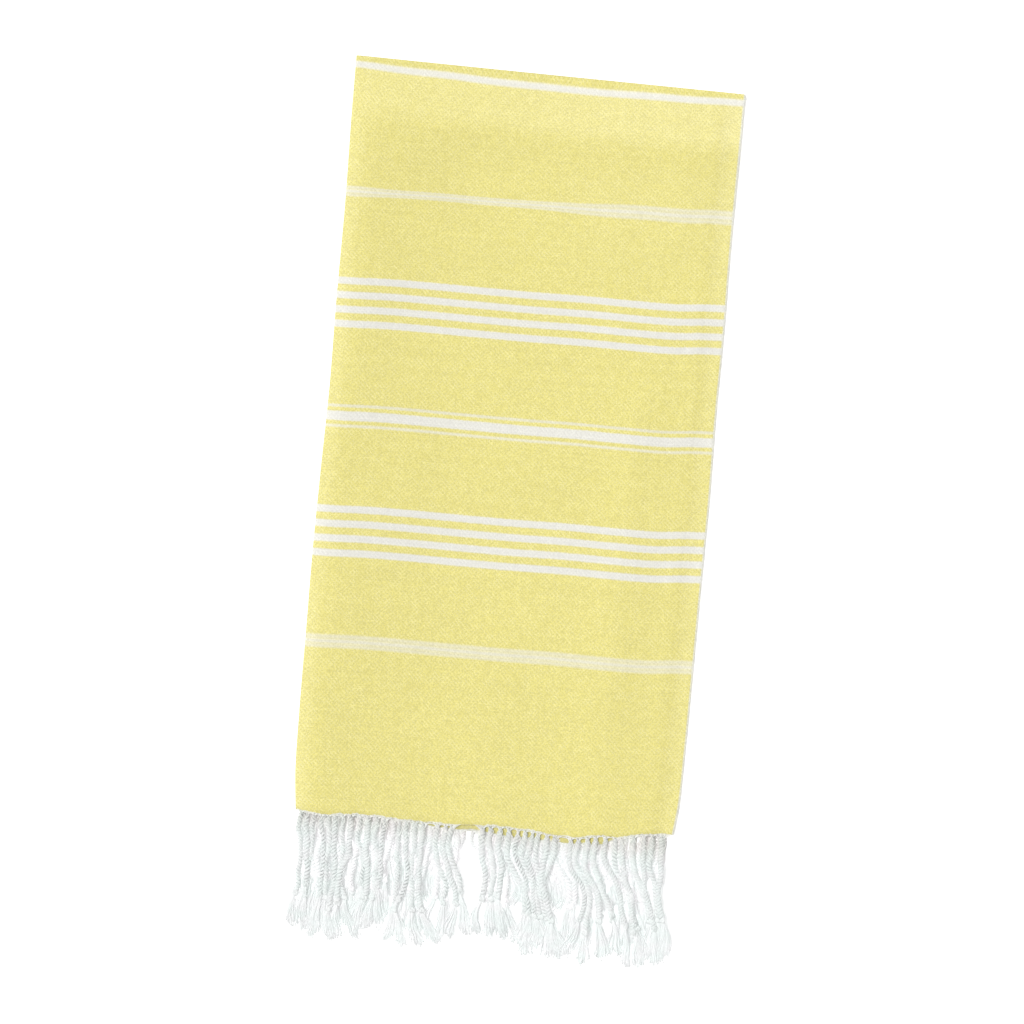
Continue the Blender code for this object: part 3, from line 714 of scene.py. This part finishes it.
def brush_ends(tubes, cords, bed, rings=10, sides=4):
    """The loose yarns past each knot, which keep some of their twist and flare out."""
    paths, radii = [], []
    t = np.linspace(0, 1, rings)
    open_out = (t**0.75)[:, None]
    for cord in cords:
        length = cord["stop"] - cord["knot"]
        for _ in range(bed["yarns"]):
            aside = random.normal(0, BRUSH_ASIDE) * MM
            stop = cord["stop"] + random.normal(0, BRUSH_PAST) * MM - 0.5 * abs(aside)
            middle = cord_route(cord, bed, np.linspace(cord["knot"] + KNOT_REACH / 2, stop, rings))
            angle, radius = random.uniform(*ANY_ANGLE), math.sqrt(random.random())
            start = np.array([math.cos(angle), 0, math.sin(angle)]) * radius * BRUSH_START * MM
            flare = np.array([aside, 0, random.normal(0, BRUSH_UPWARD) * MM]) * (bed["ply"] / KNOT_PLY)
            curl = random.uniform(*BRUSH_CURL) * MM
            wave = 2 * math.pi * t * length / (random.uniform(*BRUSH_WAVE) * MM) + random.uniform(*ANY_ANGLE)
            bend = curl * np.stack([np.cos(wave), 0 * wave, 0.6 * np.sin(wave)], -1) * grown(0.3, t)[:, None]
            path = middle + start * (1 - 0.4 * open_out) + flare * open_out + bend
            path[:, 2] = np.maximum(path[:, 2], BRUSH_LOWEST)
            paths.append(path)
            radii.append(random.uniform(*BRUSH_YARN) * MM * (1 - 0.4 * t**2))
    tubes.add(paths, radii, sides)


def stray_yarns(tubes, cords, bed, rings=26, sides=4):
    """Thin yarns that have come loose from a cord and wind round it from the hem towards its knot."""
    paths, radii = [], []
    for cord in cords:
        for _ in range(bed["strays"]):
            stop = cord["knot"] - random.uniform(*STRAY_STOP) * MM
            distances = np.linspace(cord["hem"] + 1 * MM, stop, rings)
            run = distances - distances[0]
            hand = random.choice([-1, 1])
            turn = hand * 2 * math.pi * run / (random.uniform(*STRAY_PITCH) * MM) + random.uniform(*ANY_ANGLE)
            off = (cord["ply"] * 1.95 + random.uniform(*STRAY_OFF)) * MM * ease(run, -4 * MM, TWIST_OPEN)
            around = np.stack([off * np.cos(turn), 0 * turn, 0.8 * off * np.sin(turn)], -1)
            paths.append(cord_route(cord, bed, distances) + around)
            radii.append(np.full(rings, random.uniform(*STRAY_YARN) * MM))
    tubes.add(paths, radii, sides)


def hem_threads(tubes, cords, bed, upper, outer, rings=9, sides=4):
    """Warp threads that leave the hem side by side and are drawn sideways into the nearest cord, and
    others along the hem from cord to cord."""
    sign = 1 if upper else -1
    width = OUTER_LEAF if outer else -INNER_LEAF
    chosen = sorted((cord for cord in cords if cord["on_outer"] == outer), key=lambda cord: abs(cord["u"]))
    marks = np.array([abs(cord["u"]) for cord in chosen])
    edges = np.concatenate([[2 * MM], (marks[1:] + marks[:-1]) / 2, [abs(width) - 1 * MM]])
    t = np.linspace(0, 1, rings)
    paths, radii = [], []
    for rank, (cord, mark) in enumerate(zip(chosen, marks)):
        low, high = max(edges[rank], mark - MOST_FAN), min(edges[rank + 1], mark + MOST_FAN)
        for start in np.linspace(low, high, max(LEAST_THREADS, int((high - low) / THREAD_SPACING))):
            u = math.copysign(start, width)
            lift = SCALLOP - float(drawn_down(u)) if upper and outer else 0.0
            leave = folded(u, sign * (hem_length(u, upper) - lift - 0.6 * MM), 0.0)
            reach = cord["hem"] + FAN_REACH * grown(FAN_NEAREST, abs(start - mark) / MOST_FAN)
            target = cord_route(cord, bed, np.array([reach]))[0]
            target = target + mm(random.normal(0, 0.7), 0, random.normal(0, 0.5))
            downward = t**1.5 if abs(start - mark) > 3 * MM else t
            path = leave + (target - leave) * np.stack([t**0.8, downward, t], -1)
            path[:, 2] += 0.5 * MM * np.sin(math.pi * t)
            paths.append(path)
            radii.append(WARP_THREAD * (1 + 0.25 * t))
    for ends in zip(marks[:-1], marks[1:]):
        if ends[1] - ends[0] > 2 * MOST_FAN:
            continue
        for reach in HEM_ARCS:
            u = np.copysign(np.linspace(*ends, rings), width)
            hem = folded(u, sign * (hem_length(u, upper) + 0.3 * MM), 0.0)
            from_middle = np.abs(2 * t - 1)
            paths.append(hem + reach * np.stack([0 * t, -(from_middle**2.2), 0.25 * (1 - from_middle)], -1))
            radii.append(np.full(rings, WARP_THREAD * 1.15))
    tubes.add(paths, radii, sides)


# ---- materials
class Nodes:
    """A short way to write a material's nodes. Most methods return an output socket."""

    def __init__(self, name):
        self.material = bpy.data.materials.new(name)
        self.material.use_nodes = True
        self.tree = self.material.node_tree
        self.shader = self.tree.nodes["Principled BSDF"]

    def put(self, socket, value):
        if isinstance(value, bpy.types.NodeSocket):
            self.tree.links.new(value, socket)
        elif isinstance(value, tuple) and len(value) == 3 and socket.type == "RGBA":
            socket.default_value = (*value, 1.0)
        else:
            socket.default_value = value

    def node(self, kind, inputs=(), **settings):
        """A new node's outputs. inputs are its values or sockets, in turn or by name or number."""
        node = self.tree.nodes.new("ShaderNode" + kind)
        for setting, value in settings.items():
            setattr(node, setting, value)
        for key, value in inputs.items() if isinstance(inputs, dict) else enumerate(inputs):
            self.put(node.inputs[key], value)
        return node.outputs

    def math(self, operation, *values, clamp=False):
        return self.node("Math", values, operation=operation, use_clamp=clamp)[0]

    def times(self, first, *others):
        for other in others:
            first = self.math("MULTIPLY", first, other)
        return first

    def plus(self, first, second):
        return self.math("ADD", first, second)

    def minus(self, first, second):
        return self.math("SUBTRACT", first, second)

    def uv(self, name):
        return self.node("SeparateXYZ", [self.node("UVMap", uv_map=name)[0]])[:2]

    def object_place(self):
        return self.node("SeparateXYZ", [self.node("TexCoord")["Object"]])[:2]

    def vector(self, x, y, z=0.0):
        return self.node("CombineXYZ", (x, y, z))[0]

    def noise(self, vector, scale, detail, rough=0.5):
        return self.node("TexNoise", dict(Vector=vector, Scale=scale, Detail=detail, Roughness=rough))["Fac"]

    def random(self, value):
        kind, socket = ("1D", "W") if value.type == "VALUE" else ("3D", "Vector")
        return self.node("TexWhiteNoise", {socket: value}, noise_dimensions=kind)["Value"]

    def span(self, value, low, high, to_low=0.0, to_high=1.0, kind="SMOOTHSTEP"):
        return self.node("MapRange", (value, low, high, to_low, to_high), interpolation_type=kind)[0]

    def line(self, value, low, high, to_low, to_high):
        return self.span(value, low, high, to_low, to_high, "LINEAR")

    def mix(self, share, first, second, blend="MIX"):
        return self.node("Mix", {0: share, 6: first, 7: second}, data_type="RGBA", blend_type=blend)[2]

    def grey(self, colour, tone):
        """The colour, made darker or lighter by a tone."""
        return self.mix(1.0, colour, self.vector(tone, tone, tone), "MULTIPLY")

    def bump(self, height, distance, strength):
        return self.node("Bump", dict(Height=height, Distance=distance, Strength=strength))[0]

    def set(self, **values):
        for name, value in values.items():
            self.put(self.shader.inputs[name.replace("_", " ")], value)


def stripe_mask(n, u, weft):
    """How white the weft is at a place, from the table of stripes."""
    total, closer = 0.0, 1.0
    from_middle = n.math("ABSOLUTE", n.minus(weft, MIDDLE_STRIPE))
    for start, full, least, most in NARROWING:
        closer = n.times(closer, n.span(u, start * MM, full * MM, least, most))
    group_middle = next(row[0] for row in STRIPES if "narrows" in row)
    narrowed = n.math("MULTIPLY_ADD", n.minus(from_middle, group_middle), closer, group_middle)
    for first, pitch, count, width, white, soft, *narrows in STRIPES:
        into = n.minus(narrowed if narrows else from_middle, first - pitch / 2)
        off = n.math("ABSOLUTE", n.minus(n.math("FLOORED_MODULO", into, pitch), pitch / 2))
        line = n.span(off, width / 2 + soft, width / 2 - soft, 0.0, white)
        within = n.times(n.math("GREATER_THAN", into, 0.0), n.math("LESS_THAN", into, pitch * count))
        total = n.math("MAXIMUM", total, n.times(line, within))
    return total


def woven_cotton():
    """Yellow weft over white warp in a fine broken twill, with white weft stripes."""
    n = Nodes("woven_yellow_cotton")
    u, v = n.uv("sheet")
    to_hem = n.uv("hem")[1]
    place = n.vector(u, v)
    across, along = (n.math("DIVIDE", value, THREAD_PITCH) for value in (u, v))
    warp, weft = n.math("FLOOR", across), n.math("FLOOR", along)
    # Each thread is round: 1 on its crown and 0 between two threads.
    crown = [n.math("SINE", n.times(n.math("FRACT", value), math.pi)) for value in (across, along)]
    # Each direction of the twill comes and goes in patches, and threads drop out of it at random.
    kept = n.line(n.random(n.vector(warp, weft)), 0.0, 0.5, 0.0, 1.0)
    twills = []
    for step, (layer, least, most) in zip((n.minus(warp, weft), n.plus(warp, weft)), TWILLS):
        strength = n.span(n.noise(n.vector(u, v, layer), NOISE["twill"], 2.0), 0.36, 0.64, least, most)
        shows = n.math("LESS_THAN", n.math("FLOORED_MODULO", step, TWILL_REPEAT), TWILL_FLOAT)
        twills.append(n.times(shows, strength))
    warp_shows = n.times(n.math("MAXIMUM", *twills), kept)
    # Colour of the weft pick at this place.
    pick = n.times(n.plus(weft, 0.5), THREAD_PITCH / MM)
    ragged = n.times(n.minus(n.noise(place, NOISE["ragged"], 2.0), 0.5), RAGGED)
    white = stripe_mask(n, u, n.plus(pick, ragged))
    yarn = n.mix(white, WEFT_YELLOW, WEFT_WHITE)
    colour = n.mix(n.times(warp_shows, WARP_SHARE), yarn, WARP_WHITE)
    # The selvedges are closer-woven and paler.
    outer_edge = n.span(n.minus(OUTER_LEAF, u), 2.2 * MM, 1.0 * MM, 0.0, SELVEDGE_WHITE)
    inner_edge = n.span(n.plus(u, INNER_LEAF), 3.2 * MM, 1.6 * MM, 0.0, SELVEDGE_WHITE)
    colour = n.mix(n.math("MAXIMUM", outer_edge, inner_edge), colour, WARP_WHITE)
    # White warp ends are drawn out of the hem here and there.
    frayed = n.times(n.noise(n.vector(u, 0.0), NOISE["fraying"], 3.0, 0.7), HEM_FRAYING)
    patches = n.noise(n.vector(u, 3.0), NOISE["fraying_patches"], 1.0)
    frayed = n.times(frayed, n.span(patches, *FRAYING_PATCHES))
    hem_edge = n.span(to_hem, frayed, n.minus(frayed, HEM_EDGE), 0.0, HEM_WHITE)
    colour = n.mix(hem_edge, colour, WARP_WHITE)
    # Yarn to yarn, streak, patch and speck differences, with painted light where the warp floats and painted
    # shade between the threads.
    streak = n.vector(n.times(u, 18.0), n.times(v, 900.0))
    speck = n.vector(*(n.math("FLOOR", n.times(value, 0.5)) for value in (across, along)))
    specks = n.line(white, 0.0, 1.0, 2 * SPECKS, 0.9 * SPECKS)
    height = n.math("MAXIMUM", n.times(crown[0], warp_shows), n.times(crown[1], 0.8))
    tones = [
        n.line(n.random(weft), *TONES["pick"]),
        n.line(n.random(n.plus(warp, 0.37)), *TONES["end"]),
        n.line(n.noise(streak, 1.0, 1.0), *TONES["streak"]),
        n.line(n.noise(place, NOISE["fading"], 2.0), *TONES["patch"]),
        n.math("MULTIPLY_ADD", n.minus(n.random(speck), 0.5), specks, 1.0),
        n.line(warp_shows, *TONES["warp"]),
        n.line(height, *TONES["shade_between_threads"]),
    ]
    # Painted light and shade on the upper end: lighter beside the long fold, in a band below the cross fold,
    # over the upper right and towards the outer selvedge; darker further in from the long fold and along the
    # cross fold.
    painted_light = 0.0
    for share, parts in PAINTED_LIGHT_PATCHES:
        patch = share
        for off, (start, full) in zip((u, v), parts):
            if start is not None:
                patch = n.times(patch, n.span(off, start * MM, full * MM))
        painted_light = n.plus(painted_light, patch)
    painted_light = n.times(painted_light, n.math("GREATER_THAN", v, 0.0))
    colour = n.mix(n.math("MULTIPLY", painted_light, PAINTED_LIGHT_TO_WHITE, clamp=True), colour, (1.0, 1.0, 1.0))
    tones.append(n.math("MULTIPLY_ADD", painted_light, PAINTED_LIGHT_TONE, 1.0))
    # Painted shadow: the inner leaf is darker where it hangs out below the outer leaf's hem.
    under_hem_shadow = n.times(n.span(to_hem, UNDER_HEM_SHADOW_FROM, UNDER_HEM_SHADOW_FULL), n.math("LESS_THAN", u, 0.0))
    tones.append(n.span(under_hem_shadow, 0.0, 1.0, 1.0, UNDER_HEM_SHADOW_TONE))
    # Painted shade along the two folds' edges, where the cloth turns away from the light.
    for off, half in zip((u, v), FOLD_SHADE_HALVES):
        tones.append(n.span(n.math("ABSOLUTE", off), half, 0.6 * half, 1.0, FOLD_SHADE_TONE))
    fuzz = n.noise(place, NOISE["fuzz"], 1.0)
    n.set(Base_Color=n.grey(colour, n.times(*tones)), Roughness=n.line(fuzz, 0.2, 0.8, 0.80, 0.95))
    n.set(Sheen_Weight=0.18, Sheen_Roughness=0.45, Specular_IOR_Level=0.18)
    n.set(Normal=n.bump(n.plus(height, n.times(fuzz, 0.3)), 0.16 * MM, 0.8))
    return n.material


def cotton_yarn(name, colour, painted_glow, relief, groove_shade, hem_shade_and_light):
    """White cotton yarn: fine fibres wound round each ply, with paler and darker stretches, painted shade
    between the fibres and between the plies, and a painted glow.
    """
    n = Nodes(name)
    along, around = n.uv("yarn")
    wind = n.plus(n.times(around, 6.0), n.times(along, 1 / (5.5 * MM)))
    strand = n.math("PINGPONG", wind, 0.5)
    fibre = n.noise(n.vector(n.times(along, 1400.0), n.times(around, 9.0)), 1.0, 3.0, 0.6)
    stretch = n.noise(n.vector(n.times(along, 60.0), 0.0), 1.0, 2.0)
    # The tone has painted shade between the wound fibres, and paler and darker stretches.
    tone = n.times(
        n.span(strand, *TONES["shade_between_fibres"]),
        n.times(n.span(fibre, *TONES["fibre"]), n.span(stretch, *TONES["stretch"])),
    )
    # Painted shade between the plies: the yarn is darker there, by stretches.
    across, down = n.object_place()
    depth = n.span(n.uv("groove_shade")[0], GROOVE_FULL, GROOVE_FROM, 1.0 - groove_shade, 0.0)
    patches = n.noise(n.vector(across, down, 5.0), NOISE["groove_shade"], 1.0)
    tone = n.times(tone, n.minus(1.0, n.times(depth, n.span(patches, *GROOVE_PATCHES))))
    # Beside the hem the cords are painted a little darker and warmer and the loose yarns lighter: painted
    # shade and painted light.
    past_hem = n.span(down, GLOW_FROM, GLOW_FULL)
    beside_hem = tuple(part * cast for part, cast in zip(colour, hem_shade_and_light))
    casts = n.noise(n.vector(across, down), NOISE["cast"], 1.0)
    cast = n.mix(n.span(casts, 0.35, 0.65), COOL_CAST, WARM_CAST)
    shade = n.grey(n.mix(1.0, n.mix(past_hem, beside_hem, colour), cast, "MULTIPLY"), tone)
    n.set(Base_Color=shade, Roughness=0.88, Sheen_Weight=0.25, Sheen_Roughness=0.5, Specular_IOR_Level=0.15)
    # Painted glow: emission that lifts the yarn's shade, weaker beside the hem and stronger at the thin tips.
    strength = n.line(past_hem, 0.0, 1.0, GLOW_LEAST * painted_glow, painted_glow)
    strength = n.plus(strength, n.span(down, TIPS_FROM, TIPS_FULL, 0.0, TIPS_GLOW))
    n.set(Emission_Color=shade, Emission_Strength=strength)
    n.set(Normal=n.bump(n.plus(n.times(strand, 2.0), n.times(fibre, 0.35)), relief, 0.8))
    return n.material


def pale_floor():
    n = Nodes("pale_floor")
    n.set(Base_Color=(0.95, 0.95, 0.95), Roughness=0.9, Specular_IOR_Level=0.0)
    n.set(Emission_Color=(1.0, 1.0, 1.0), Emission_Strength=FLOOR_GLOW)
    return n.material


# ---- putting it together
def make_floor():
    corners = ((-1, -1), (1, -1), (1, 1), (-1, 1))
    points = np.array([(x * FLOOR_SIZE, y * FLOOR_SIZE, -FLOOR_DROP) for x, y in corners])
    floor = grid_mesh("floor", points, [(0, 1, 2, 3)], {}, pale_floor())


def make_fringe():
    """The fringe's pieces: cords and loose yarns of each bed."""
    add_waves(CORDS)
    made = []
    for bed_name, bed in BEDS.items():
        cords = CORDS[bed_name]
        upper = bed_name != "lower"
        wound, loose = Tubes(), Tubes()
        twisted_plies(wound, cords, bed)
        knots(wound, cords, bed)
        brush_ends(loose, cords, bed)
        if bed["strays"]:
            stray_yarns(loose, cords, bed)
        for outer in sorted({cord["on_outer"] for cord in cords}):
            hem_threads(loose, cords, bed, upper, outer)
        cord_look = (f"white_cord_{bed_name}", bed["white"], bed["painted_glow"], CORD_RELIEF, bed["groove_shade"])
        loose_look = (f"white_yarn_{bed_name}", LOOSE_WHITE, LOOSE_GLOW, LOOSE_RELIEF, 1.0)
        for kind, tubes, look in (("cords", wound, cord_look), ("loose_yarns", loose, loose_look)):
            piece = tubes.make(f"fringe_{bed_name}_{kind}", cotton_yarn(*look, HEM_SHADE_AND_LIGHT[kind]))
            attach(piece, "root")
            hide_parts("fringe_front" if upper else "fringe_back")
            made.append(piece)
    return made


def make_camera():
    data = bpy.data.cameras.new("camera")
    data.lens, data.sensor_width = LENS, SENSOR
    data.clip_end = 50
    camera = bpy.data.objects.new("camera", data)
    camera.location = (VIEW_CENTRE[0], VIEW_CENTRE[1], VIEW_CENTRE[2] + VIEW_WIDTH * LENS / SENSOR)
    camera.rotation_euler = (0, 0, math.radians(TURN))
    scene.collection.objects.link(camera)
    scene.camera = camera


def make_light():
    world = bpy.data.worlds.new("studio")
    world.use_nodes = True
    background = world.node_tree.nodes["Background"]
    background.inputs["Color"].default_value = (1.0, 1.0, 1.0, 1.0)
    background.inputs["Strength"].default_value = FILL_LIGHT
    scene.world = world
    data = bpy.data.lights.new("key", "SUN")
    data.energy, data.angle = KEY_LIGHT, math.radians(KEY_SOFTNESS)
    key = bpy.data.objects.new("key", data)
    lean, turn = math.radians(KEY_FROM_ZENITH), math.radians(KEY_TURN)
    towards = Vector((-math.sin(turn) * math.sin(lean), math.cos(turn) * math.sin(lean), math.cos(lean)))
    key.rotation_mode = "QUATERNION"
    key.rotation_quaternion = towards.to_track_quat("Z", "Y")
    scene.collection.objects.link(key)
    scene.view_settings.view_transform = "Standard"
    scene.cycles.max_bounces = BOUNCES
    scene.cycles.diffuse_bounces = BOUNCES


def main():
    make_floor()
    cloth = make_cloth(woven_cotton())
    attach(cloth, "root")
    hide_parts("towel_cloth")
    fringe = make_fringe()
    make_camera()
    make_light()


main()
